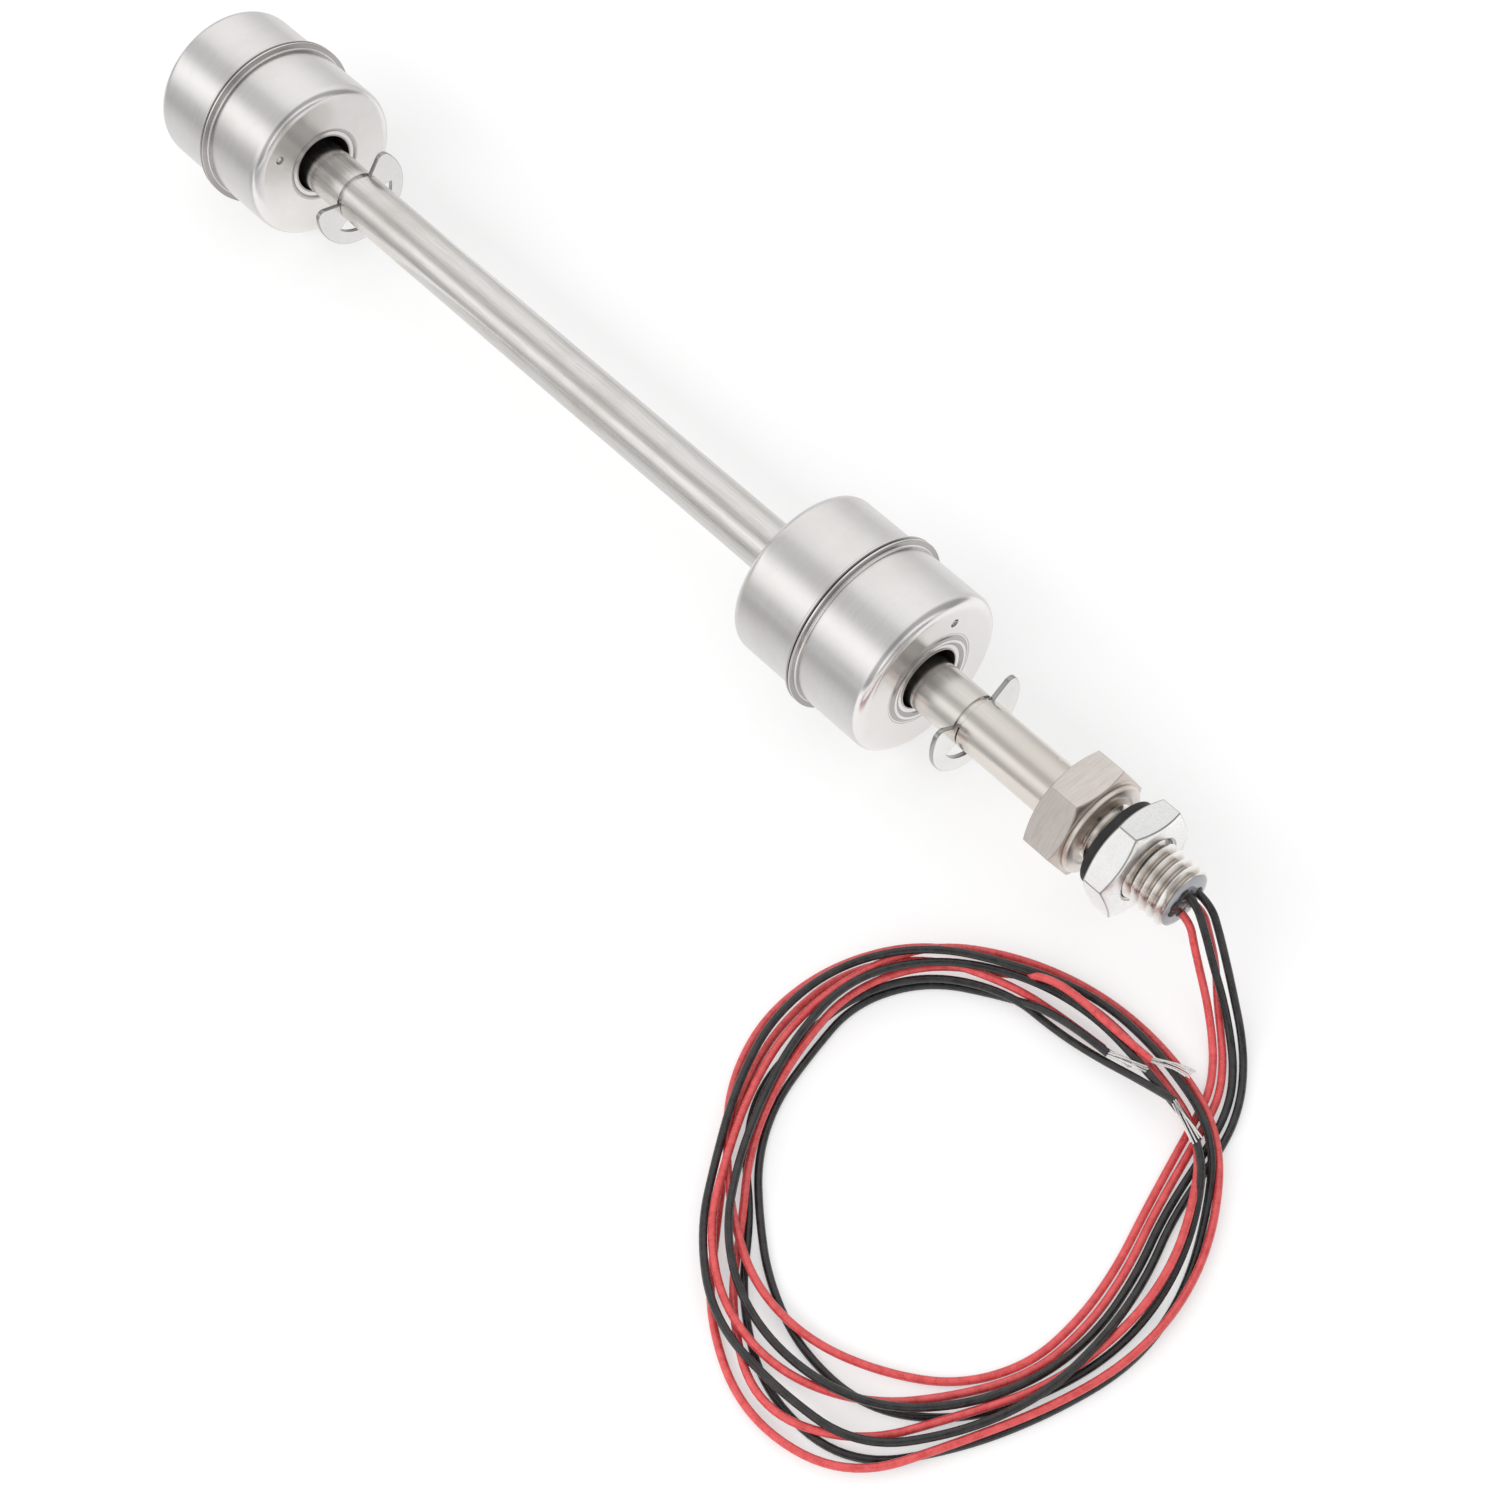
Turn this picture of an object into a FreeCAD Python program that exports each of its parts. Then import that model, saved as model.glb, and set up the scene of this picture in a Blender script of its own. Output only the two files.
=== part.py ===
import FreeCAD, Part
import math
import os
from FreeCAD import Vector

# A level switch with two floats on one stem. All sizes are in millimetres.
# X runs along the stem towards the lead end and Z is up. The switch lies on
# its two floats, so the surface under it is z = 0. "Top" and "upper" mean
# towards the leads, which is up when the switch hangs in a tank.

# stem
stem_diameter = 8.5
stem_wall = 1.0
stem_tail = 2.5
tip_plug_depth = 2.0
mark_diameter = 1.0
mark_depth = 0.15
mark_setback = 3.9
mark_angle = 63.0

# floats
float_diameter = 28.0
float_length = 27.8
float_wall = 0.25
float_pitch = 146.3
shoulder_radius = 1.9
seam_diameter = 30.2
seam_width = 1.2
bore_diameter = 10.4
bore_rest = 0.15
bore_tube_wall = 0.25
collar_diameter = 15.2
collar_width = 1.6
collar_height = 0.4
seat_bevel = 0.9
seat_depth = 0.2
dimple_radius = 0.9
dimple_depth = 0.35
dimple_offset = 10.6
vent_plug_diameter = 2.6
vent_plug_depth = 0.6
upper_dimple_angle = 61.0
lower_dimple_angle = 146.0

# magnet inside each float
magnet_diameter = 14.8
magnet_length = 5.0
spacer_diameter = 13.0

# retaining clips
clip_diameter = 17.4
clip_thickness = 0.8
clip_slack = 0.04
groove_diameter = 7.5
clip_relief_diameter = 12.6
clip_mouth_half_angle = 57.0
clip_lobe_angle = 53.0
clip_prong_half_angle = 14.0
clip_corner = 1.3
top_clip_gap = 9.2
bottom_clip_gap = 1.4
upper_clip_turn = 93.0
lower_clip_turn = 111.0

# mounting body
upper_float_drop = 28.2
hex_flats = 16.3
hex_length = 6.2
hex_face_diameter = 15.9
boss_diameter = 15.0
boss_length = 0.9
stud_diameter = 10.0
stud_length = 15.5
stud_end_diameter = 8.9
stem_socket_depth = 5.0
chamfer_angle = 25.0

# gasket and lock nut
wall_gap = 2.4
gasket_diameter = 14.3
gasket_bore = 10.6
gasket_thickness = 1.5
nut_flats = 16.0
nut_turn = 48.2
nut_thickness = 4.8
nut_face_diameter = 15.0
nut_clearance = 0.05
face_clearance = 0.02

# potting, reed switches and leads
potting_depth = 8.0
potting_cap = 0.4
potting_round = 0.25
lead_diameter = 1.4
capsule_diameter = 2.2
capsule_length = 14.0
capsule_wall = 0.3
capsule_round = 0.5
glass_seal = 2.0
blade_width = 1.0
blade_seal = 1.2
blade_thickness = 0.2
blade_gap = 0.12
blade_overlap = 1.2
reed_wire_diameter = 0.6
reed_wire_length = 3.0
solder_tab = 0.8
sleeve_wall = 0.15
sleeve_length = 16.0
reed_shift = 4.0
strand_diameter = 0.9
strand_length = 6.5
strand_seat = 1.0
strand_height = 1.45
coil_height = 4.0

# chords in the round stretches of a turned outline
large_chords = 4
small_chords = 2

# the places of the four leads across the stem, seen along X
black_place_a = (0.0, 1.6)
black_place_b = (2.1, 0.4)
red_place_a = (-1.0, -1.35)
red_place_b = (1.2, -1.3)

# The floats lie on their seams, and the stem hangs low in their bores with
# bore_rest left under it.
float_height = seam_diameter / 2
stem_height = float_height - (bore_diameter - stem_diameter) / 2 + bore_rest

# places along the stem, worked out from the sizes above
overall_length = (potting_cap + stud_length + boss_length + hex_length + upper_float_drop
                  + float_pitch + float_length + bottom_clip_gap + clip_thickness + stem_tail)
lead_end_x = overall_length / 2
stud_end_x = lead_end_x - potting_cap
mounting_face_x = stud_end_x - stud_length
hex_front_x = mounting_face_x - boss_length
hex_back_x = hex_front_x - hex_length
upper_float_x = hex_back_x - upper_float_drop - float_length / 2
lower_float_x = upper_float_x - float_pitch
stem_tip_x = -overall_length / 2
stem_top_x = hex_back_x + stem_socket_depth
gasket_x = mounting_face_x + wall_gap
nut_x = gasket_x + gasket_thickness + face_clearance
inner_bore = stem_diameter - 2 * stem_wall
tube_diameter = bore_diameter + 2 * bore_tube_wall

xAxis = Vector(1, 0, 0)
origin = Vector(0, 0, 0)


def turned(outline):
    """Turn a closed outline of (along, radius) points about the X axis."""
    corners = [Vector(along, 0, radius) for along, radius in outline]
    return Part.Face(Part.makePolygon(corners + corners[:1])).revolve(origin, xAxis, 360)


def rounded(centre, along, across, start, stop, chords):
    """Points of an outline's round stretch: an arc, or part of an ellipse, in equal turns."""
    turns = [math.radians(start + (stop - start) * i / chords) for i in range(chords + 1)]
    return [(centre[0] + along * math.cos(t), centre[1] + across * math.sin(t)) for t in turns]


def rod(x, length, diameter, side=0.0, height=0.0):
    return Part.makeCylinder(diameter / 2, length, Vector(x, side, height), xAxis)


def ring(x, length, outer, inner):
    return rod(x, length, outer).cut(rod(x, length, inner))


def save(name, shape, height=stem_height):
    """Write one piece, lifted from the X axis to its height above the floor."""
    piece = shape.copy()
    piece.translate(Vector(0, 0, height))
    if piece.ShapeType == "Compound" and len(piece.Solids) == 1:
        piece = piece.Solids[0]
    piece.exportStep("parts/" + name + ".step")
    print(name, "solids", len(piece.Solids), "valid", piece.isValid(), "volume", round(piece.Volume, 1))


# stem


def clipPlaces(floatX):
    """Give where the two clips of a float start: the bottom one, then the top one."""
    half = float_length / 2
    return (floatX - half - bottom_clip_gap - clip_thickness, floatX + half + top_clip_gap)


def stemTube():
    tube = ring(stem_tip_x, stem_top_x - stem_tip_x, stem_diameter, inner_bore)
    for floatX in (upper_float_x, lower_float_x):
        for place in clipPlaces(floatX):
            tube = tube.cut(ring(place - clip_slack / 2, clip_thickness + clip_slack,
                                 stem_diameter + 1, groove_diameter))
    radius = mark_diameter ** 2 / (8 * mark_depth) + mark_depth / 2
    reach = stem_diameter / 2 - mark_depth + radius
    angle = math.radians(mark_angle)
    mark = Part.makeSphere(radius, Vector(hex_back_x - mark_setback,
                                          reach * math.cos(angle), reach * math.sin(angle)))
    return tube.cut(mark)


def tipPlug():
    return rod(stem_tip_x, tip_plug_depth, inner_bore)


def retainingClip(x, turn):
    """A three-prong clip, open at its mouth, with a relief on each side of its middle prong."""
    disc = rod(x, clip_thickness, clip_diameter).cut(rod(x, clip_thickness, groove_diameter))

    def sector(start, stop, reach):
        points = [Vector(x, 0, 0)]
        steps = 8
        for i in range(steps + 1):
            angle = math.radians(start + (stop - start) * i / steps)
            points.append(Vector(x, reach * math.cos(angle), reach * math.sin(angle)))
        points.append(points[0])
        return Part.Face(Part.makePolygon(points)).extrude(Vector(clip_thickness, 0, 0))

    clip = disc.cut(sector(90 - clip_mouth_half_angle, 90 + clip_mouth_half_angle, clip_diameter))
    relief = ring(x, clip_thickness, clip_relief_diameter, groove_diameter - 0.2)
    lobe = clip_mouth_half_angle + clip_lobe_angle
    for start, stop in ((90 + lobe, 270 - clip_prong_half_angle), (clip_prong_half_angle - 90, 90 - lobe)):
        clip = clip.cut(relief.common(sector(start, stop, clip_diameter)))
    corners = [edge for edge in clip.Edges if isOuterCorner(edge)]
    clip = clip.makeFillet(clip_corner, corners)
    clip.rotate(origin, xAxis, turn - 90)
    return clip


def isOuterCorner(edge):
    """True for a clip's edge along X at its rim, where a lobe ends at the mouth."""
    if edge.Curve.TypeId != "Part::GeomLine":
        return False
    first, last = edge.Vertexes[0].Point, edge.Vertexes[-1].Point
    radius = math.hypot(first.y, first.z)
    return abs(first.x - last.x) > clip_thickness / 2 and abs(radius - clip_diameter / 2) < 0.01


# mounting body, gasket and nut


def chamferedHex(x, length, flats, face, turn):
    """A hexagon bar cut off at length, its corners turned off at both ends."""
    corner = flats / math.sqrt(3)
    points = [Vector(x, corner * math.cos(math.radians(turn + 60 * i)),
                     corner * math.sin(math.radians(turn + 60 * i))) for i in range(7)]
    bar = Part.Face(Part.makePolygon(points)).extrude(Vector(length, 0, 0))
    radius = corner + 0.5
    setback = (radius - face / 2) * math.tan(math.radians(chamfer_angle))
    barrel = turned([(x, 0), (x, face / 2), (x + setback, radius), (x + length - setback, radius),
                     (x + length, face / 2), (x + length, 0)])
    return bar.common(barrel)


def mountingBody():
    body = chamferedHex(hex_back_x, hex_length, hex_flats, hex_face_diameter, 0)
    edge = (stud_diameter - stud_end_diameter) / 2
    stud = turned([(hex_front_x, 0), (hex_front_x, boss_diameter / 2), (mounting_face_x, boss_diameter / 2),
                   (mounting_face_x, stud_diameter / 2), (stud_end_x - edge, stud_diameter / 2),
                   (stud_end_x, stud_end_diameter / 2), (stud_end_x, 0)])
    body = body.fuse(stud)
    body = body.cut(rod(hex_back_x, stem_socket_depth, stem_diameter))
    return body.cut(rod(hex_back_x, stud_end_x - hex_back_x, inner_bore)).removeSplitter()


def gasket():
    return ring(gasket_x, gasket_thickness, gasket_diameter, gasket_bore)


def lockNut():
    nut = chamferedHex(nut_x, nut_thickness, nut_flats, nut_face_diameter, nut_turn)
    bore = stud_diameter / 2 + nut_clearance
    mouth = stud_diameter / 2 + 0.4
    front = nut_x + nut_thickness
    hole = turned([(nut_x, 0), (nut_x, mouth), (nut_x + mouth - bore, bore),
                   (front - mouth + bore, bore), (front, mouth), (front, 0)])
    return nut.cut(hole)


# floats


def cup(collared):
    """One half of a float, from the seam plane to its end face, with the face towards +X."""
    end = float_length / 2
    rim = float_diameter / 2
    seam = seam_diameter / 2
    bead = seam_width / 2
    hole = tube_diameter / 2
    corner = (end - shoulder_radius, rim - shoulder_radius)
    outline = [(0, rim - float_wall)]
    outline += rounded((0, seam - bead), bead, bead, 90, 0, small_chords)
    outline.append((bead, rim))
    outline += rounded(corner, shoulder_radius, shoulder_radius, 90, 0, large_chords)
    if collared:
        crest = collar_diameter / 2 - collar_width / 2
        outline += rounded((end, crest), collar_height, collar_width / 2, 90, -90, large_chords)
        outline += [(end, hole), (end - float_wall, hole)]
    else:
        seat = hole + seat_bevel
        outline += [(end, seat), (end - seat_depth, seat - seat_depth), (end - seat_depth, hole),
                    (end - seat_depth - float_wall, hole), (end - seat_depth - float_wall, seat),
                    (end - float_wall, seat + seat_depth)]
    inner = shoulder_radius - float_wall
    return turned(outline + rounded(corner, inner, inner, 0, 90, small_chords))


def placed(shape, x, flipped=False):
    piece = shape.copy()
    if flipped:
        piece.rotate(origin, Vector(0, 0, 1), 180)
    piece.translate(Vector(x, 0, 0))
    return piece


def vented(cup, x, angle):
    """Close the vent hole in the end face at x with a welded plug that has a shallow dent."""
    turn = math.radians(angle)
    side, height = dimple_offset * math.cos(turn), dimple_offset * math.sin(turn)
    plug = rod(x - vent_plug_depth, vent_plug_depth, vent_plug_diameter, side, height)
    dent = Part.makeSphere(dimple_radius, Vector(x + dimple_radius - dimple_depth, side, height))
    return cup.fuse(plug).cut(dent)


def boreTube():
    """The sleeve that the stem runs through, its lip a little proud at the collared end."""
    inner = bore_diameter / 2
    outer = tube_diameter / 2
    plain = -float_length / 2 + seat_depth
    lip = float_length / 2
    middle = (inner + outer) / 2
    round_ = rounded((lip, middle), bore_tube_wall / 2, bore_tube_wall / 2, 90, -90, small_chords)
    return turned([(plain, inner), (plain, outer)] + round_)


def floatPieces(name, x, flipped, angle):
    half = float_length / 2
    magnet = ring(x - magnet_length / 2, magnet_length, magnet_diameter, tube_diameter)
    collared = ring(magnet_length / 2, half - float_wall - magnet_length / 2,
                    spacer_diameter, tube_diameter)
    plain = ring(magnet_length / 2, half - seat_depth - float_wall - magnet_length / 2,
                 spacer_diameter, tube_diameter)
    for part, shape in (("_top_cup", vented(placed(cup(not flipped), x), x + half, angle)),
                        ("_bottom_cup", placed(cup(flipped), x, True)),
                        ("_bore_tube", placed(boreTube(), x, flipped)),
                        ("_magnet", magnet),
                        ("_top_spacer", placed(plain if flipped else collared, x)),
                        ("_bottom_spacer", placed(collared if flipped else plain, x, True))):
        save(name + part, shape, float_height)


# reed switches and their leads inside the stem


def reedBlade(x, side, height, tab, top):
    """One blade with its wire and the soldered tab that a lead butts against."""
    sign = 1 if top else -1
    offset = sign * (blade_gap + blade_thickness) / 2
    tip = x - sign * blade_overlap / 2
    seal = x + sign * (capsule_length / 2 - blade_seal)
    wireEnd = x + sign * (capsule_length / 2 + reed_wire_length)
    blade = Part.makeBox(abs(seal - tip), blade_width, blade_thickness,
                         Vector(min(tip, seal), side - blade_width / 2,
                                height + offset - blade_thickness / 2))
    blade = blade.fuse(rod(min(seal, wireEnd), abs(wireEnd - seal), reed_wire_diameter, side, height))
    low = min(wireEnd, wireEnd + sign * solder_tab)
    solder = rod(low, solder_tab, lead_diameter, side, height)
    if tab:
        solder = solder.fuse(rod(low, solder_tab, lead_diameter, tab[0], tab[1]))
        across = Vector(0, tab[0] - side, tab[1] - height)
        width = Vector(0, -across.z, across.y).normalize() * reed_wire_diameter / 2
        foot = Vector(low, side, height)
        points = [foot + width, foot + across + width, foot + across - width, foot - width,
                  foot + width]
        solder = solder.fuse(Part.Face(Part.makePolygon(points)).extrude(Vector(solder_tab, 0, 0)))
    return blade.fuse(solder).removeSplitter()


def reedPieces(name, x, place, back):
    """A sealed reed switch at place, with its far wire brought to the lead at back."""
    side, height = place
    outer = capsule_diameter / 2
    ends = (x - capsule_length / 2, x + capsule_length / 2)
    corners = [(end, outer - capsule_round) for end in (ends[0] + capsule_round, ends[1] - capsule_round)]
    glass = turned([(ends[0], 0)]
                   + rounded(corners[0], capsule_round, capsule_round, 180, 90, small_chords)
                   + rounded(corners[1], capsule_round, capsule_round, 90, 0, small_chords)
                   + [(ends[1], 0)])
    cavity = rod(ends[0] + glass_seal, capsule_length - 2 * glass_seal,
                 capsule_diameter - 2 * capsule_wall)
    glass = glass.cut(cavity)
    glass.translate(Vector(0, side, height))
    top = reedBlade(x, side, height, None, True)
    bottom = reedBlade(x, side, height, back, False)
    save(name + "_reed_glass", glass.cut(top).cut(bottom))
    save(name + "_reed_top_blade", top)
    save(name + "_reed_bottom_blade", bottom)
    sleeve = ring(x - sleeve_length / 2, sleeve_length, capsule_diameter + 2 * sleeve_wall,
                  capsule_diameter)
    sleeve.translate(Vector(0, side, height))
    save(name + "_reed_sleeve", sleeve)


def tabPlace(x, top):
    """Where a lead's end meets the solder tab of the reed switch at x."""
    reach = capsule_length / 2 + reed_wire_length
    return x + reach + solder_tab if top else x - reach


def potting(leads):
    cap = stud_end_diameter / 2
    edge = (lead_end_x - potting_round, cap - potting_round)
    plug = turned([(stud_end_x - potting_depth, 0), (stud_end_x - potting_depth, inner_bore / 2),
                   (stud_end_x, inner_bore / 2), (stud_end_x, cap)]
                  + rounded(edge, potting_round, potting_round, 90, 0, small_chords)
                  + [(lead_end_x, 0)])
    for side, height in leads:
        plug = plug.cut(rod(stud_end_x - potting_depth, potting_depth + 1, lead_diameter, side, height))
    return plug


# free leads: plain tubes to the coil, and the coil's outer shape


def leadTube(name, points):
    """A tube of straight runs joined by tangent arcs, each as large as its two runs allow."""
    path = [Vector(*p) for p in points]
    edges = []
    here = path[0]
    radii = []
    for before, corner, after in zip(path, path[1:], path[2:]):
        inward, outward = (corner - before), (after - corner)
        turn = inward.getAngle(outward)
        cut = 0.45 * min(inward.Length, outward.Length)
        radius = cut / math.tan(turn / 2)
        radii.append(round(radius, 1))
        inward.normalize()
        outward.normalize()
        arcStart, arcEnd = corner - inward * cut, corner + outward * cut
        bisector = (outward - inward).normalize()
        centre = corner + bisector * (radius / math.cos(turn / 2))
        middle = centre - bisector * radius
        edges.append(Part.makeLine(here, arcStart))
        edges.append(Part.Arc(arcStart, middle, arcEnd).toShape())
        here = arcEnd
    edges.append(Part.makeLine(here, path[-1]))
    spine = Part.Wire(edges)
    section = Part.Wire(Part.makeCircle(lead_diameter / 2, path[0], path[1] - path[0]))
    tube = spine.makePipeShell([section], True, True)
    ideal = math.pi * lead_diameter ** 2 / 4 * spine.Length
    print(name, "radii", radii, "volume over section times length", round(tube.Volume / ideal, 4))
    save(name, tube, 0)


def coil():
    """The outer shape of the loose turns that the four leads lie in."""
    outside, inside = [
        Part.makePolygon([Vector(x, y, 0) for x, y in points + points[:1]])
        for points in (coil_outside, coil_inside)]
    up = Vector(0, 0, coil_height)
    return Part.Face(outside).extrude(up).cut(Part.Face(inside).extrude(up))


def strands(start, heading):
    angle = math.radians(heading)
    along = Vector(math.cos(angle), math.sin(angle), 0)
    foot = Vector(start[0], start[1], strand_height) - along * strand_seat
    return Part.makeCylinder(strand_diameter / 2, strand_length + strand_seat, foot, along)


coil_outside = [(142.2, -19.5), (148.0, -26.5), (152.9, -35.2), (155.2, -44.5), (154.4, -53.5),
                (151.2, -61.9), (147.3, -73.2), (142.6, -84.3), (134.6, -89.6), (125.1, -90.1),
                (114.3, -85.2), (103.0, -77.3), (93.8, -66.1), (83.1, -52.5), (81.4, -40.8),
                (84.8, -28.6), (92.3, -20.1), (104.8, -14.6), (117.3, -10.4), (129.7, -11.4)]
coil_inside = [(135.3, -21.2), (138.4, -29.4), (142.7, -42.4), (144.5, -54.3), (143.2, -64.7),
               (135.8, -72.7), (125.9, -77.4), (119.0, -75.6), (109.7, -72.0), (99.5, -64.3),
               (94.7, -54.6), (91.4, -41.4), (92.5, -31.9), (98.8, -24.4), (106.7, -20.4),
               (117.1, -17.2), (127.1, -17.0)]

# each lead's route from the potting to the coil
lead_routes = {
    "black_lead_a": [(118.6, 0.0, 15.9), (122.4, -0.1, 13.2), (125.0, -0.6, 8.7), (127.4, -1.8, 4.6),
                     (130.4, -4.2, 1.0), (134.0, -8.4, 0.8), (137.0, -13.0, 0.8), (139.4, -18.6, 0.8)],
    "black_lead_b": [(118.8, 2.1, 14.7), (122.8, 2.2, 12.3), (126.0, 1.6, 8.2), (129.0, 0.2, 4.0),
                     (132.5, -3.2, 0.9), (136.4, -8.3, 0.8), (139.6, -14.0, 0.8), (141.8, -20.4, 0.8)],
    "red_lead_a": [(118.4, -1.0, 12.95), (121.6, -1.7, 10.1), (123.6, -3.0, 5.8), (125.8, -4.6, 2.4),
                   (129.2, -7.4, 0.8), (132.0, -10.8, 0.8), (134.0, -15.4, 0.8)],
    "red_lead_b": [(118.6, 1.2, 13.0), (122.0, 0.4, 10.3), (124.5, -1.4, 6.2), (127.0, -3.6, 2.4),
                   (130.4, -6.4, 0.8), (133.6, -10.6, 0.8), (136.4, -16.6, 0.8)],
}
# where each lead's bare strands leave the coil, and their heading
strand_starts = {
    "black_lead_a": ((117.1, -17.2), -25.0),
    "black_lead_b": ((131.5, -18.2), -60.0),
    "red_lead_a": ((121.5, -16.7), -32.0),
    "red_lead_b": ((127.1, -17.0), -58.0),
}


def main():
    os.makedirs("parts", exist_ok=True)

    save("stem_tube", stemTube())
    save("stem_tip_plug", tipPlug())
    save("mounting_body", mountingBody())
    for name, floatX, turn in (("upper", upper_float_x, upper_clip_turn),
                               ("lower", lower_float_x, lower_clip_turn)):
        bottom, top = clipPlaces(floatX)
        save(name + "_float_bottom_clip", retainingClip(bottom, turn))
        save(name + "_float_top_clip", retainingClip(top, turn))

    floatPieces("upper_float", upper_float_x, False, upper_dimple_angle)
    floatPieces("lower_float", lower_float_x, True, lower_dimple_angle)

    save("sealing_gasket", gasket())
    save("lock_nut", lockNut())

    upperReed = upper_float_x + reed_shift
    lowerReed = lower_float_x + reed_shift
    reedPieces("upper", upperReed, black_place_a, black_place_b)
    reedPieces("lower", lowerReed, red_place_a, red_place_b)
    inner = (("black_lead_a_inside", black_place_a, tabPlace(upperReed, True)),
             ("black_lead_b_inside", black_place_b, tabPlace(upperReed, False)),
             ("red_lead_a_inside", red_place_a, tabPlace(lowerReed, True)),
             ("red_lead_b_inside", red_place_b, tabPlace(lowerReed, False)))
    for name, place, start in inner:
        save(name, rod(start, stud_end_x - start, lead_diameter, *place))
    save("potting_plug", potting([place for name, place, start in inner]))

    for name, place, start in inner:
        lead = name.replace("_inside", "")
        leadTube(lead, [(stud_end_x, place[0], stem_height + place[1])] + lead_routes[lead])
        save(lead + "_strands", strands(*strand_starts[lead]), 0)
    save("lead_coil", coil(), 0)


main()
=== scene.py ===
import math
import random

import bpy
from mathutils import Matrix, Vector


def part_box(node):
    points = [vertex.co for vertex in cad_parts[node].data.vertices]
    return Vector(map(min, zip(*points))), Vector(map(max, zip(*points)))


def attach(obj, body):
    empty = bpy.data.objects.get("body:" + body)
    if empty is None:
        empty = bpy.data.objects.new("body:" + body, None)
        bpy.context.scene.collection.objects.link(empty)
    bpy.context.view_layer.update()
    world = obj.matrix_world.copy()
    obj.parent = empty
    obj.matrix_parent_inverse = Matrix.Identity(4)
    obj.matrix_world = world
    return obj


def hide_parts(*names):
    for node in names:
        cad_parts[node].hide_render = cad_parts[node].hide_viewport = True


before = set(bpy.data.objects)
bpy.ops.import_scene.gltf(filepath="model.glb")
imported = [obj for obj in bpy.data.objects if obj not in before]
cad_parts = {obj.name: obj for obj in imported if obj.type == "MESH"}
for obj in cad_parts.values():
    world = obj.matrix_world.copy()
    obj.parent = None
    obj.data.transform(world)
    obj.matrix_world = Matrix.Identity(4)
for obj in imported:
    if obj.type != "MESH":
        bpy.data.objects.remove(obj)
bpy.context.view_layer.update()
random.seed(7)
mm = 0.001
weldDistance = 0.000002  # vertices nearer than this become one
print("frame loaded", len(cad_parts), "nodes")


# handling pieces

def clearSelection():
    for thing in list(bpy.context.selected_objects):
        thing.select_set(False)


def pick(*pieces):
    clearSelection()
    for piece in pieces:
        piece.select_set(True)
    bpy.context.view_layer.objects.active = pieces[0]


def selectVertices(piece, wanted):
    for part in (piece.data.polygons, piece.data.edges):
        for item in part:
            item.select = False
    for vertex in piece.data.vertices:
        vertex.select = wanted(vertex.co)


def editMode(on):
    bpy.ops.object.mode_set(mode="EDIT" if on else "OBJECT")


def applyModifiers(piece):
    pick(piece)
    for modifier in list(piece.modifiers):
        bpy.ops.object.modifier_apply(modifier=modifier.name)


def cutWith(piece, tool, operation="DIFFERENCE"):
    cut = piece.modifiers.new("cut", "BOOLEAN")
    cut.operation = operation
    cut.solver = "EXACT"
    cut.object = tool
    applyModifiers(piece)
    bpy.data.objects.remove(tool)


def settle(piece):  # place and turn go into the mesh
    pick(piece)
    bpy.ops.object.transform_apply(location=True, rotation=True, scale=True)


def finishMesh(piece, angle=32, edge=0.0):
    # breaks the edges where asked, marks them, and smooths the shading
    if edge:
        piece.data.materials.append(None)
        piece.data.materials.append(None)  # the bevel's faces go to this second slot
        bevel = piece.modifiers.new("edges", "BEVEL")
        bevel.material = 1
        bevel.width = edge * mm
        bevel.segments = 2
        bevel.limit_method = "ANGLE"
        bevel.angle_limit = math.radians(28)
        bevel.use_clamp_overlap = True
        applyModifiers(piece)
        markEdges(piece, lambda polygon: polygon.material_index == 1)
        for polygon in piece.data.polygons:
            polygon.material_index = 0
    pick(piece)
    bpy.ops.object.shade_smooth_by_angle(angle=math.radians(angle))
    weigh = piece.modifiers.new("normals", "WEIGHTED_NORMAL")
    weigh.keep_sharp = True
    applyModifiers(piece)


def markEdges(piece, wanted):
    # faces that catch less light, such as rims and the walls of small steps
    marks = piece.data.attributes.get("edge") or piece.data.attributes.new("edge", "FLOAT", "FACE")
    for polygon, mark in zip(piece.data.polygons, marks.data):
        mark.value = max(mark.value, float(wanted(polygon)))


def centreOf(node):
    low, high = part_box(node)
    return (low + high) / 2


def turnPiece(name, profile, steps, axis):
    # a profile of (along, radius, rounding) in millimetres, extruded point by point and spun about X
    bpy.ops.mesh.primitive_plane_add(size=0.001)
    piece = bpy.context.active_object
    piece.name = piece.data.name = name
    editMode(True)
    bpy.ops.mesh.select_all(action="SELECT")
    bpy.ops.mesh.merge(type="CENTER")
    along, radius = profile[0][0], profile[0][1]
    bpy.ops.transform.translate(value=(along * mm, axis[0], axis[1] + radius * mm))
    for point in profile[1:]:
        step = ((point[0] - along) * mm, 0, (point[1] - radius) * mm)
        bpy.ops.mesh.extrude_vertices_move(TRANSFORM_OT_translate={"value": step})
        along, radius = point[0], point[1]
    editMode(False)
    for point in profile:
        if len(point) > 2:
            corner = Vector((point[0] * mm, axis[0], axis[1] + point[1] * mm))
            selectVertices(piece, lambda co: (co - corner).length < 1e-6)
            editMode(True)
            segments = 3 if point[2] < 0.3 else 6 if point[2] < 1 else 12
            bpy.ops.mesh.bevel(offset=point[2] * mm, offset_type="OFFSET", segments=segments,
                               affect="VERTICES", profile=0.5)
            editMode(False)
    editMode(True)
    bpy.ops.mesh.select_all(action="SELECT")
    bpy.ops.mesh.spin(steps=steps, angle=2 * math.pi, center=(0, axis[0], axis[1]), axis=(1, 0, 0))
    bpy.ops.mesh.select_all(action="SELECT")
    bpy.ops.mesh.remove_doubles(threshold=weldDistance)
    bpy.ops.mesh.normals_make_consistent(inside=False)
    editMode(False)
    return piece


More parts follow.
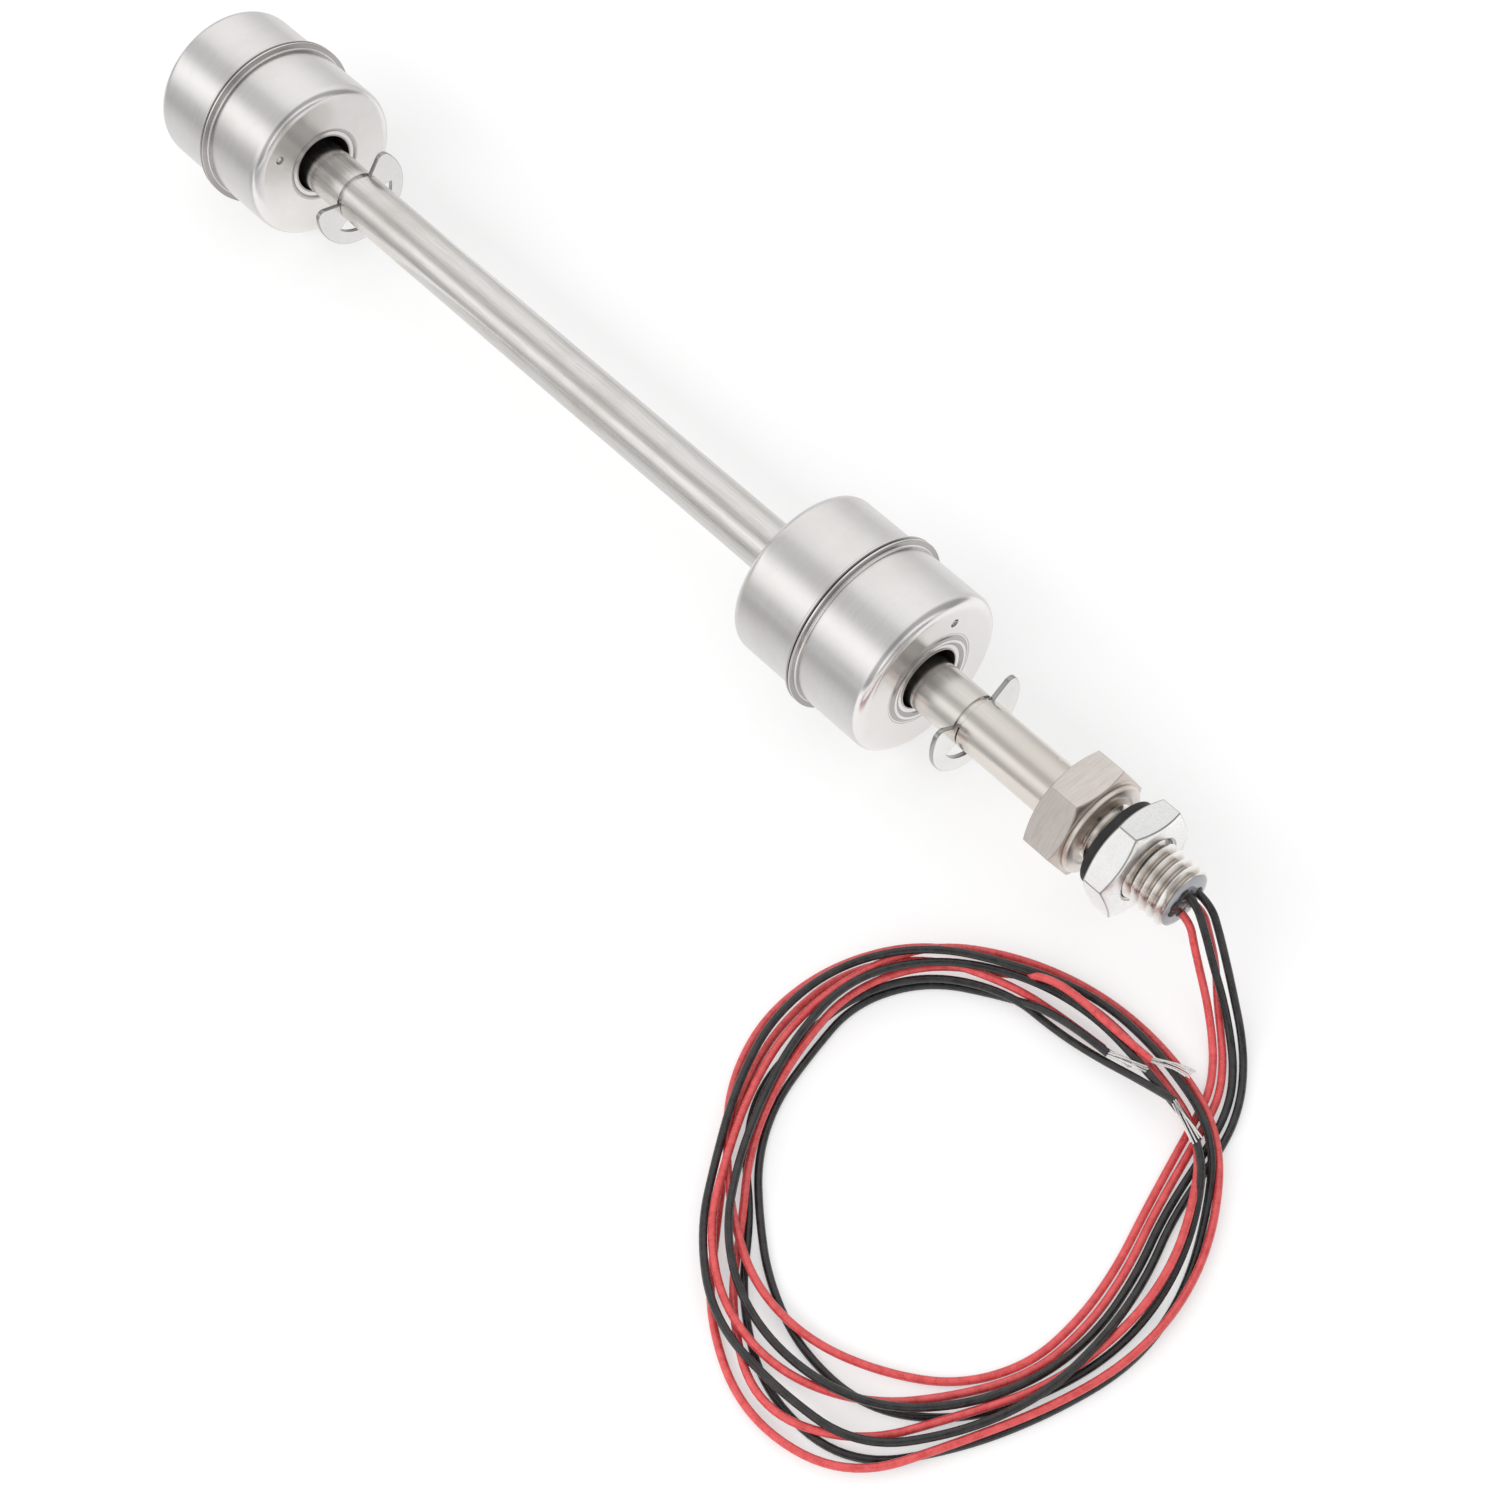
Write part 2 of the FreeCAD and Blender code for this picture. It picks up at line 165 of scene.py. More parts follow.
def ballCutter(radius, place):
    # a drill's tip, for cutWith
    bpy.ops.mesh.primitive_uv_sphere_add(segments=32, ring_count=20, radius=radius * mm, location=place)
    ball = bpy.context.active_object
    settle(ball)
    return ball


# materials

def newMaterial(name, colour, roughness, metallic=0.0):
    material = bpy.data.materials.new(name)
    material.use_nodes = True
    shader = material.node_tree.nodes["Principled BSDF"]
    shader.inputs["Base Color"].default_value = (*colour, 1)
    shader.inputs["Roughness"].default_value = roughness
    shader.inputs["Metallic"].default_value = metallic
    return material, shader


def addNode(material, kind, **values):
    node = material.node_tree.nodes.new(kind)
    for key, value in values.items():
        if key in node.inputs:
            node.inputs[key].default_value = value
        else:
            setattr(node, key, value)
    return node


def link(material, start, end):
    material.node_tree.links.new(start, end)


def objectNoise(material, scale, stretch=(1, 1, 1), detail=3.0, rough=0.5, centre=(0, 0, 0)):
    # noise on object coordinates, scale in features a metre
    place = addNode(material, "ShaderNodeTexCoord")
    mapping = addNode(material, "ShaderNodeMapping")
    mapping.inputs["Location"].default_value = centre
    mapping.inputs["Scale"].default_value = stretch
    noise = addNode(material, "ShaderNodeTexNoise", Scale=scale, Detail=detail, Roughness=rough)
    link(material, place.outputs["Object"], mapping.inputs["Vector"])
    link(material, mapping.outputs["Vector"], noise.inputs["Vector"])
    return noise.outputs["Fac"]


def ramp(material, source, *stops):
    node = addNode(material, "ShaderNodeValToRGB")
    elements = node.color_ramp.elements
    while len(elements) < len(stops):
        elements.new(0.5)
    for element, (position, colour) in zip(elements, stops):
        element.position = position
        element.color = (*colour, 1) if hasattr(colour, "__len__") else (colour, colour, colour, 1)
    link(material, source, node.inputs["Fac"])
    return node.outputs["Color"]


def mixColours(material, factor, first, second, blend="MIX"):
    node = addNode(material, "ShaderNodeMix", data_type="RGBA", blend_type=blend)
    for socket, value in ((node.inputs[0], factor), (node.inputs[6], first), (node.inputs[7], second)):
        if hasattr(value, "is_output"):
            link(material, value, socket)
        elif hasattr(value, "__len__"):
            socket.default_value = (*value, 1)
        else:
            socket.default_value = value
    return node.outputs[2]


def addBump(material, shader, height, strength, distance):
    bump = addNode(material, "ShaderNodeBump", Strength=strength, Distance=distance)
    link(material, height, bump.inputs["Height"])
    link(material, bump.outputs["Normal"], shader.inputs["Normal"])


# edge: share of the colour left on marked edges, a painted shade; smooth and rough: the ends of the
# roughness; stretch, grain
# and depth: the brushing's direction, features a metre and strength; streaks: how much it shows in the colour
steelLooks = {
    "floatSteel": {"colour": (0.86, 0.84, 0.825), "worn": (0.75, 0.72, 0.69), "edge": 0.55, "smooth": 0.17,
                   "rough": 0.28, "stretch": (1, 0.05, 0.05), "grain": 2600, "depth": 0.11,
                   "streaks": 0.12},
    "stemSteel": {"colour": (0.80, 0.78, 0.755), "worn": (0.64, 0.61, 0.575), "edge": 1.0, "smooth": 0.17,
                  "rough": 0.3, "stretch": (0.06, 1, 1), "grain": 2400, "depth": 0.12, "streaks": 0.4,
                  "tint": (0.74, 0.69, 0.635), "tinted": (0.05, 0.09)},
    "hexSteel": {"colour": (0.79, 0.735, 0.69), "worn": (0.64, 0.585, 0.54), "edge": 0.9, "smooth": 0.3,
                 "rough": 0.45, "stretch": (1, 0.08, 0.08), "grain": 4200, "depth": 0.25, "streaks": 0.6},
    "nutSteel": {"colour": (0.94, 0.935, 0.925), "worn": (0.8, 0.79, 0.78), "edge": 0.52, "smooth": 0.24,
                 "rough": 0.38, "stretch": (1, 1, 1), "grain": 2800, "depth": 0.16, "streaks": 0.5},
    "clipSteel": {"colour": (0.88, 0.87, 0.855), "worn": (0.78, 0.76, 0.74), "edge": 0.5, "smooth": 0.14,
                  "rough": 0.24, "stretch": (1, 1, 1), "grain": 1500, "depth": 0.06, "streaks": 0.2},
    # painted shade: a darker copy of the float steel for the bore tube, which lies in the float's shaded bore
    "shadedBoreSteel": {"colour": (0.5, 0.48, 0.46), "worn": (0.4, 0.37, 0.34), "edge": 1.0, "smooth": 0.25,
                  "rough": 0.4, "stretch": (1, 0.1, 0.1), "grain": 2400, "depth": 0.06, "streaks": 0.3},
    # painted light: the boss's steel is a brighter copy of the hex's, lightened against the gasket's dark
    # reflection
    "brightenedBossSteel": {"colour": (0.86, 0.81, 0.76), "worn": (0.62, 0.53, 0.45), "edge": 1.0, "smooth": 0.32,
                  "rough": 0.45, "stretch": (1, 0.05, 0.05), "grain": 3200, "depth": 0.1, "streaks": 0.5},
}


def steel(name):
    look = steelLooks[name]
    material, shader = newMaterial(name, look["colour"], look["smooth"], 1.0)
    cloud = objectNoise(material, 90, detail=5, rough=0.6)
    grain = objectNoise(material, look["grain"], look["stretch"], detail=2)
    specks = objectNoise(material, 1400, detail=2, rough=0.7, centre=(0.3, 0.1, 0.2))
    worn = ramp(material, cloud, (0.45, 0.0), (0.72, 0.55))
    spots = ramp(material, specks, (0.66, 0.0), (0.74, 0.5))
    colour = mixColours(material, worn, look["colour"], look["worn"])
    colour = mixColours(material, spots, colour, look["worn"])
    streaks = ramp(material, grain, (0.38, look["streaks"]), (0.55, 0.0))
    colour = mixColours(material, streaks, colour, look["worn"])
    # painted shade: the faces marked as edges (rims, bevels, chamfers and the walls of small steps) take a
    # darker colour
    edge = addNode(material, "ShaderNodeAttribute", attribute_name="edge")
    dark = [level ** 1.5 * look["edge"] for level in look["colour"]]
    colour = mixColours(material, edge.outputs["Fac"], colour, dark)
    if "tint" in look:  # heat has browned it beside the weld
        place, parts = addNode(material, "ShaderNodeTexCoord"), addNode(material, "ShaderNodeSeparateXYZ")
        link(material, place.outputs["Object"], parts.inputs[0])
        near = addNode(material, "ShaderNodeMapRange")
        near.inputs["From Min"].default_value, near.inputs["From Max"].default_value = look["tinted"]
        link(material, parts.outputs["X"], near.inputs["Value"])
        colour = mixColours(material, near.outputs["Result"], colour, look["tint"])
    link(material, colour, shader.inputs["Base Color"])
    smooth, rough = look["smooth"], look["rough"]
    finish = mixColours(material, 0.5, ramp(material, grain, (0.3, smooth), (0.7, rough)),
                        ramp(material, cloud, (0.35, smooth), (0.75, rough)))
    link(material, finish, shader.inputs["Roughness"])
    addBump(material, shader, grain, look["depth"], 0.00002)
    return material


floatSteel, stemSteel, hexSteel, nutSteel, clipSteel, shadedBoreSteel, brightenedBossSteel = (
    steel(name) for name in steelLooks)


def threadSteel():
    # painted highlight on the bright crests and painted shade in the brown valleys, by the distance from the
    # stud's own axis
    material, shader = newMaterial("threadSteel", (0.78, 0.75, 0.71), 0.22, 1.0)
    centre = centreOf("mounting_body")
    place = addNode(material, "ShaderNodeTexCoord")
    mapping = addNode(material, "ShaderNodeMapping")
    mapping.inputs["Location"].default_value = (0, -centre.y, -centre.z)
    mapping.inputs["Scale"].default_value = (0, 1, 1)
    reach = addNode(material, "ShaderNodeVectorMath", operation="LENGTH")
    link(material, place.outputs["Object"], mapping.inputs["Vector"])
    link(material, mapping.outputs["Vector"], reach.inputs[0])
    scaled = addNode(material, "ShaderNodeMapRange")
    scaled.inputs["From Min"].default_value = 0.0041
    scaled.inputs["From Max"].default_value = 0.005
    link(material, reach.outputs["Value"], scaled.inputs["Value"])
    depth = ramp(material, scaled.outputs["Result"], (0.0, (0.5, 0.44, 0.39)), (0.5, (0.8, 0.77, 0.73)),
                 (1.0, (0.92, 0.9, 0.88)))
    patch = objectNoise(material, 420, detail=3)
    colour = mixColours(material, ramp(material, patch, (0.5, 0.0), (0.75, 0.4)), depth, (0.62, 0.53, 0.46))
    link(material, colour, shader.inputs["Base Color"])
    link(material, ramp(material, patch, (0.3, 0.17), (0.7, 0.3)), shader.inputs["Roughness"])
    addBump(material, shader, objectNoise(material, 3200), 0.1, 0.00003)
    return material


def rubber():
    material, shader = newMaterial("gasketRubber", (0.022, 0.022, 0.024), 0.55)
    shader.inputs["Specular IOR Level"].default_value = 0.3
    grain = objectNoise(material, 3000, detail=4)
    link(material, ramp(material, objectNoise(material, 300), (0.3, 0.016), (0.8, 0.034)),
         shader.inputs["Base Color"])
    link(material, ramp(material, grain, (0.2, 0.45), (0.8, 0.65)), shader.inputs["Roughness"])
    addBump(material, shader, grain, 0.25, 0.00004)
    return material


def resin():
    material, shader = newMaterial("pottingResin", (0.34, 0.35, 0.38), 0.09)
    shader.inputs["Coat Weight"].default_value = 0.6
    shader.inputs["Coat Roughness"].default_value = 0.04
    swirl = objectNoise(material, 350, detail=4)
    link(material, ramp(material, swirl, (0.3, (0.3, 0.31, 0.34)), (0.75, (0.38, 0.39, 0.42))),
         shader.inputs["Base Color"])
    addBump(material, shader, objectNoise(material, 500, detail=1), 0.3, 0.0001)
    return material


def insulation(name, deep, pale, shine, bumps):
    # soft lead cover: fine pimples that catch the light, a few scuffs
    material, shader = newMaterial(name, pale, 0.38)
    shader.inputs["Specular IOR Level"].default_value = shine
    scuffs = objectNoise(material, 700, detail=4, rough=0.65)
    pimples = objectNoise(material, 1700, detail=3, rough=0.6)
    colour = mixColours(material, ramp(material, scuffs, (0.35, 0.0), (0.7, 1.0)), deep, pale)
    link(material, colour, shader.inputs["Base Color"])
    link(material, ramp(material, scuffs, (0.35, 0.2), (0.7, 0.42)), shader.inputs["Roughness"])
    addBump(material, shader, pimples, bumps, 0.0001)
    return material


def plainMetal(name, colour, roughness):
    material, shader = newMaterial(name, colour, roughness, 1.0)
    patch = objectNoise(material, 900, detail=3)
    link(material, ramp(material, patch, (0.3, roughness * 0.8), (0.75, roughness * 1.4)),
         shader.inputs["Roughness"])
    addBump(material, shader, patch, 0.15, 0.00003)
    return material


def plainSolid(name, colour, darker, roughness):
    material, shader = newMaterial(name, colour, roughness)
    patch = objectNoise(material, 1200, detail=4)
    link(material, ramp(material, patch, (0.3, darker), (0.7, colour)), shader.inputs["Base Color"])
    addBump(material, shader, patch, 0.15, 0.00003)
    return material


def reedGlass():
    material, shader = newMaterial("reedGlass", (0.78, 0.9, 0.82), 0.04)
    shader.inputs["Transmission Weight"].default_value = 0.9
    shader.inputs["IOR"].default_value = 1.5
    tint = objectNoise(material, 400, detail=1)
    link(material, ramp(material, tint, (0.2, (0.7, 0.88, 0.78)), (0.8, (0.82, 0.93, 0.86))),
         shader.inputs["Base Color"])
    return material


threadMetal, gasketRubber, pottingResin = threadSteel(), rubber(), resin()
blackCover = insulation("blackCover", (0.008, 0.008, 0.009), (0.03, 0.03, 0.032), 0.65, 0.5)
redCover = insulation("redCover", (0.62, 0.05, 0.052), (0.82, 0.1, 0.105), 0.8, 0.12)
tinnedCopper = plainMetal("tinnedCopper", (0.92, 0.91, 0.89), 0.18)
innerLooks = {
    "float_magnet": plainSolid("magnetFerrite", (0.05, 0.048, 0.046), (0.03, 0.03, 0.03), 0.5),
    "spacer": plainSolid("spacerPlastic", (0.7, 0.69, 0.66), (0.6, 0.59, 0.56), 0.4),
    "reed_glass": reedGlass(),
    "blade": plainMetal("reedAlloy", (0.66, 0.64, 0.6), 0.25),
    "sleeve": plainSolid("sleevePlastic", (0.62, 0.62, 0.6), (0.5, 0.5, 0.48), 0.3),
}
# the CAD pieces that stay, all inside the stem and the floats
for nodeName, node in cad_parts.items():
    look = next((look for word, look in innerLooks.items() if word in nodeName), stemSteel)
    if "lead" in nodeName:
        look = blackCover if "black" in nodeName else redCover
    for materialSlot in node.material_slots:
        materialSlot.material = look
    if not node.material_slots:
        node.data.materials.append(look)
print("materials made")


def dress(piece, body, material, slotName, *nodes):
    # its material, the body it rides on, its slot, which is not used, and the CAD nodes it stands for
    piece.data.materials.clear()
    piece.data.materials.append(material)
    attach(piece, body)
    if nodes:
        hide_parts(*nodes)


# camera, floor and light

studio = {
    "camera": (0.24348, -0.19357, 0.34791), "direction": (-0.44965, 0.39799, -0.79964), "lens": 70.32,
    "floorSize": 0.9, "floorColour": 0.6, "floorGlow": 0.45, "worldGlow": 0.8,
}
bpy.ops.object.camera_add(location=studio["camera"])
camera = bpy.context.active_object
camera.rotation_euler = Vector(studio["direction"]).to_track_quat("-Z", "Y").to_euler()
camera.data.lens = studio["lens"]
camera.data.sensor_width = 36
camera.data.clip_start = 0.01
bpy.context.scene.camera = camera
bpy.context.scene.view_settings.view_transform = "Standard"

bpy.ops.mesh.primitive_plane_add(size=studio["floorSize"])
floor = bpy.context.active_object
floor.name = "floor"
paper, paperShader = newMaterial("paper", (studio["floorColour"],) * 3, 0.9)
paperShader.inputs["Specular IOR Level"].default_value = 0.0


def showsBackground(tree):  # 1 for what the camera, a mirror or glass sees
    path = tree.nodes.new("ShaderNodeLightPath")
    total = path.outputs["Is Camera Ray"]
    for name in ("Is Glossy Ray", "Is Transmission Ray"):
        more = tree.nodes.new("ShaderNodeMath")
        more.operation = "MAXIMUM"
        tree.links.new(total, more.inputs[0])
        tree.links.new(path.outputs[name], more.inputs[1])
        total = more.outputs[0]
    return total


glow = addNode(paper, "ShaderNodeMath", operation="MULTIPLY")
glow.inputs[1].default_value = studio["floorGlow"]
link(paper, showsBackground(paper.node_tree), glow.inputs[0])
link(paper, glow.outputs[0], paperShader.inputs["Emission Strength"])
paperShader.inputs["Emission Color"].default_value = (1, 1, 1, 1)
floor.data.materials.append(paper)

world = bpy.data.worlds.new("studioWorld")
bpy.context.scene.world = world
world.use_nodes = True
background = world.node_tree.nodes["Background"]
level = world.node_tree.nodes.new("ShaderNodeMapRange")
level.inputs["To Min"].default_value = studio["worldGlow"]
level.inputs["To Max"].default_value = 1.0
world.node_tree.links.new(showsBackground(world.node_tree), level.inputs["Value"])
world.node_tree.links.new(level.outputs["Result"], background.inputs["Strength"])
background.inputs["Color"].default_value = (1, 1, 1, 1)

# A light tent round the switch, which only its reflections see. Its brightness goes by the direction
# across the stem: 0 is in front, 90 overhead and 180 behind.
tent = {
    "radius": 1.2, "length": 5.0, "height": 0.015,
    "bands": [(0, 0.54), (5, 0.6), (12, 0.82), (21, 1.0), (30, 1.14), (40, 1.08), (48, 0.86), (56, 0.6),
              (66, 0.58), (77, 0.62), (84, 0.8), (95, 0.9), (110, 0.95), (130, 0.93), (150, 0.82),
              (165, 0.7), (180, 0.68)],
    # along the stem the tent is darker above the coil, with a bright panel and a dim end beyond it
    "along": [(-2.5, 0.8), (-2.2, 1.0), (0.1, 1.0), (0.4, 0.45), (1.2, 0.5), (1.5, 1.15), (2.3, 1.1),
              (2.45, 0.5), (2.5, 0.5)],
    "headroom": 1.2,
}
# grey paper on the floor in front and behind, also seen in reflections only: its shade by the distance
floorFlags = {
    "height": 0.0003, "reach": 0.44, "spans": ((-0.5, -0.0845), (-0.068, 0.062)),
    "shades": [(-440, 0.54), (-150, 0.5), (-70, 0.46), (-45, 0.6), (-27, 0.74), (-12, 0.82), (0, 0.84),
               (27, 0.8), (65, 0.8), (130, 0.72), (440, 0.69)],
}
keyLamp = {"angle": 142, "reach": 0.9, "size": (2.0, 0.34), "power": 5.0}


def reflectedOnly(thing):
    thing.visible_camera = thing.visible_diffuse = thing.visible_shadow = False


def glowingPaint(name, *measures):
    # brightness by the place: each measure is a function that gives its node output, and its levels
    paint, shader = newMaterial(name, (0, 0, 0), 1.0)
    shader.inputs["Specular IOR Level"].default_value = 0.0
    place = addNode(paint, "ShaderNodeTexCoord")
    parts = addNode(paint, "ShaderNodeSeparateXYZ")
    link(paint, place.outputs["Object"], parts.inputs[0])
    glowColour, strength = None, 1.0
    for measure, stops in measures:
        first, last = stops[0][0], stops[-1][0]
        spread = addNode(paint, "ShaderNodeMapRange")
        spread.inputs["From Min"].default_value, spread.inputs["From Max"].default_value = first, last
        link(paint, measure(paint, parts), spread.inputs["Value"])
        levels = ramp(paint, spread.outputs["Result"],
                      *(((stop - first) / (last - first), level / tent["headroom"]) for stop, level in stops))
        if glowColour is not None:
            levels = mixColours(paint, 1.0, glowColour, levels, "MULTIPLY")
        glowColour = levels
        strength *= tent["headroom"]  # a ramp stops at 1, so the levels are scaled down and the strength up
    link(paint, glowColour, shader.inputs["Emission Color"])
    shader.inputs["Emission Strength"].default_value = strength
    return paint


def placeAlong(paint, parts):
    return parts.outputs["X"]


def angleFromFront(paint, parts):
    behind = addNode(paint, "ShaderNodeMath", operation="MULTIPLY")
    behind.inputs[1].default_value = -1
    link(paint, parts.outputs["Y"], behind.inputs[0])
    turn = addNode(paint, "ShaderNodeMath", operation="ARCTAN2")
    link(paint, parts.outputs["Z"], turn.inputs[0])
    link(paint, behind.outputs[0], turn.inputs[1])
    degrees = addNode(paint, "ShaderNodeMath", operation="DEGREES")
    link(paint, turn.outputs[0], degrees.inputs[0])
    return degrees.outputs[0]


def placeBehind(paint, parts):
    millimetres = addNode(paint, "ShaderNodeMath", operation="MULTIPLY")
    millimetres.inputs[1].default_value = 1 / mm
    link(paint, parts.outputs["Y"], millimetres.inputs[0])
    return millimetres.outputs[0]


bpy.ops.mesh.primitive_cylinder_add(vertices=128, radius=tent["radius"], depth=tent["length"],
                                    end_fill_type="NGON", rotation=(0, math.pi / 2, 0))
shell = bpy.context.active_object
shell.name = "lightTent"
settle(shell)
shell.location.z = tent["height"]
shell.data.materials.append(glowingPaint("tentPaint", (angleFromFront, tent["bands"]),
                                         (placeAlong, tent["along"])))
reflectedOnly(shell)

for start, end in floorFlags["spans"]:
    bpy.ops.mesh.primitive_plane_add(size=1)
    flag = bpy.context.active_object
    flag.name = "floorFlag"
    flag.scale = (end - start, 2 * floorFlags["reach"], 1)
    settle(flag)
    flag.location = ((start + end) / 2, 0, floorFlags["height"])
    flag.data.materials.append(glowingPaint("flagPaint", (placeBehind, floorFlags["shades"])))
    reflectedOnly(flag)

bpy.ops.object.light_add(type="AREA")
light = bpy.context.active_object
light.name = "keyLamp"
light.data.shape = "RECTANGLE"
light.data.size, light.data.size_y = keyLamp["size"]
light.data.energy = keyLamp["power"]
lampAngle = math.radians(keyLamp["angle"])
towards = Vector((0, math.cos(lampAngle), math.sin(lampAngle)))
light.location = towards * keyLamp["reach"] + Vector((0, 0, tent["height"]))
light.rotation_euler = towards.to_track_quat("Z", "Y").to_euler()
light.visible_glossy = False
print("camera, floor and light in place")


# leads

# lean: how far a raised point moves to keep its place in the view; top: the highest that the turns go;
# passes, slack, push and pull: how the laying lifts a point and its neighbours
leadShape = {"diameter": 1.15, "length": 0.44, "centre": (119.4, -49.4), "firstAngle": 40, "step": 20,
             "lap": 18, "stations": 33, "slots": 7, "lean": (0.56, -0.5), "top": 6.2, "passes": 30,
             "slack": 0.02, "push": 0.9, "pull": 0.6}
# the loose turns' inner and outer edge, every 20 degrees clockwise from the first angle
coilEdges = {
    "inner": [27, 25.5, 26, 28, 29, 28.5, 29, 26.5, 25, 25, 25.5, 26.5, 30.5, 32, 31, 32.5, 33.5, 34],
    "outer": [36, 35, 35, 35, 37.5, 44.5, 42.5, 38.5, 33, 31, 32.5, 35.5, 37.5, 39, 37.5, 38, 38, 38.5],
}
leads = {
    # route: from the potting down to the floor; across: where the lead runs between the edges every 40
    # degrees, from 0 on the inner one to 7; tail: the last points before the strands; strands: where these
    # run, fan: how far their ends spread; in millimetres
    "redLeadA": {
        "node": "red_lead_a", "cover": redCover, "slot": "red_insulation",
        "route": [(114.6, -1.0, 12.95), (117.0, -1.1, 12.7), (119.0, -2.0, 10.2), (121.5, -2.9, 7.2),
                  (124.4, -4.1, 4.3), (127.7, -6.1, 1.6), (130.8, -9.0, 0.7), (133.6, -12.9, 0.7),
                  (135.2, -17.6, 0.7)],
        "across": [0, 0, 0, 0, 3, 7, 7, 6, 2, 4, 4, 3, 6, 2, 1, 2, 3],
        "tail": [(107.4, -18.9), (112.5, -17.8), (119.1, -17.1), (125.5, -16.2)],
        "strands": [(127.1, -15.2, 3.5), (129.1, -14.6, 4.3), (131.3, -14.3, 4.4)], "fan": 0.8,
    },
    "redLeadB": {
        "node": "red_lead_b", "cover": redCover, "slot": "red_insulation",
        "route": [(114.6, 1.2, 13.0), (116.7, 1.8, 12.6), (119.2, 1.0, 9.8), (122.1, -0.2, 6.6),
                  (125.0, -2.6, 3.7), (128.5, -5.0, 1.1), (131.7, -8.0, 0.7), (134.8, -12.1, 0.7),
                  (136.6, -17.0, 0.7)],
        "across": [1, 1, 1, 3, 6, 4, 4, 7, 7, 7, 6, 6, 7, 5, 5, 5, 2],
        "tail": [(112.2, -18.9), (119.0, -18.3)],
        "strands": [(121.0, -17.9, 0.5), (123.5, -17.3, 0.4)], "fan": 0.4,
    },
    "blackLeadA": {
        "node": "black_lead_a", "cover": blackCover, "slot": "black_insulation",
        "route": [(114.6, 0.0, 15.9), (116.5, 0.1, 15.6), (119.4, -0.6, 12.4), (122.7, -1.8, 8.9),
                  (125.9, -2.7, 5.4), (129.4, -4.4, 2.1), (133.0, -7.3, 0.8), (136.4, -11.7, 0.7),
                  (138.8, -17.6, 0.7)],
        "across": [2, 2, 2, 2, 4, 2, 3, 4, 0, 5, 5, 4, 1, 0, 0, 0, 0],
        "tail": [(112.9, -20.9), (120.9, -19.8)],
        "strands": [(122.8, -19.1, 3.8), (124.9, -18.9, 4.4), (126.7, -18.1, 4.2)], "fan": 0.4,
    },
    "blackLeadB": {
        "node": "black_lead_b", "cover": blackCover, "slot": "black_insulation",
        "route": [(114.6, 2.1, 14.7), (117.7, 2.0, 14.6), (120.5, 1.1, 12.0), (123.7, -0.1, 8.6),
                  (126.8, -1.4, 5.3), (130.3, -3.1, 2.1), (133.9, -6.2, 0.8), (137.6, -11.0, 0.7),
                  (140.4, -17.2, 0.7)],
        "across": [3, 3, 5, 4, 7, 6, 6, 5, 5, 6, 7, 7, 5, 1, 3, 1, 1],
        "tail": [(113.0, -21.2), (120.4, -20.6), (126.4, -19.3), (132.8, -19.6, 4.3)],
        "strands": [(134.1, -19.9, 4.7), (135.8, -20.4, 4.8), (137.3, -20.9, 4.8), (139.0, -21.5, 4.8)],
        "fan": 0.9,
    },
}
# what is laid first lies lowest: the drops, the second lap, the first lap over it, and the ends
layOrder = {
    "drop": ("redLeadA", "redLeadB", "blackLeadA", "blackLeadB"),
    "secondLap": ("blackLeadA", "blackLeadB", "redLeadA", "redLeadB"),
    "firstLap": ("redLeadA", "redLeadB", "blackLeadA", "blackLeadB"),
    "tail": ("redLeadB", "blackLeadB", "blackLeadA", "redLeadA"),
}
leadRadius = leadShape["diameter"] / 2


def planPoints(lead, heights):
    # the route's points, then the turns' points round the coil's centre, then the tail; a point that
    # is known to lie high leans towards the camera, to keep its place in the view
    points = [list(point) for point in lead["route"]]
    start = len(points)
    centre, across = leadShape["centre"], lead["across"]
    for i in range(leadShape["stations"]):
        angle = math.radians(leadShape["firstAngle"] - leadShape["step"] * i)
        inner, outer = (coilEdges[edge][i % leadShape["lap"]] for edge in ("inner", "outer"))
        slot = (across[i // 2] + across[(i + 1) // 2]) / 2
        radius = inner + (outer - inner) * slot / leadShape["slots"]
        points.append([centre[0] + radius * math.cos(angle), centre[1] + radius * math.sin(angle),
                       leadRadius])
    for point, height in zip(points[start:], heights[start:]):
        point[0] += leadShape["lean"][0] * (height - leadRadius)
        point[1] += leadShape["lean"][1] * (height - leadRadius)
    return points + [[*place[:2], place[2] if len(place) > 2 else leadRadius] for place in lead["tail"]]


def stretchOf(lead, part):
    # the numbers of the points that belong to a part of the laying order
    start, lap, stations = len(lead["route"]), leadShape["lap"], leadShape["stations"]
    return {"drop": range(1, start + 2), "firstLap": range(start + 2, start + lap),
            "secondLap": range(start + lap, start + stations),
            "tail": range(start + stations, start + stations + len(lead["tail"]) - 1)}[part]


def spanPoints(points, i, count):
    # where the smooth line runs while it is nearest to point i
    before, here, after = (Vector(points[j]) for j in (i - 1, i, i + 1))
    for k in range(count):
        t = k / count
        yield before * (0.5 * (1 - t) ** 2) + here * (0.5 + t * (1 - t)) + after * (0.5 * t ** 2)


def layLeads(heights):
    # lays the leads stretch by stretch, each lifted over what lies under it in a long low hump
    plans = {name: planPoints(lead, heights[name]) for name, lead in leads.items()}
    laid = []  # where the leads already down run: place, lead, point number
    for part, names in layOrder.items():
        for name in names:
            points = plans[name]
            stretch = stretchOf(leads[name], part)
            for repeat in range(leadShape["passes"] if part != "drop" else 0):
                lifts = {}
                for i in stretch:
                    for place in spanPoints(points, i, 8):
                        short = heightNeeded(place, laid, name, i) - place.z
                        for j in (i - 1, i, i + 1):
                            if short > leadShape["slack"] and (j in stretch or j == len(points) - 1):
                                share = leadShape["push"] if j == i else leadShape["pull"]
                                lifts[j] = max(lifts.get(j, 0), short * share)
                for j, lift in lifts.items():
                    points[j][2] = min(points[j][2] + lift, leadShape["top"])
                if not lifts:
                    break
            for i in stretch:
                laid += [(place, name, i) for place in spanPoints(points, i, 12)]
    return plans


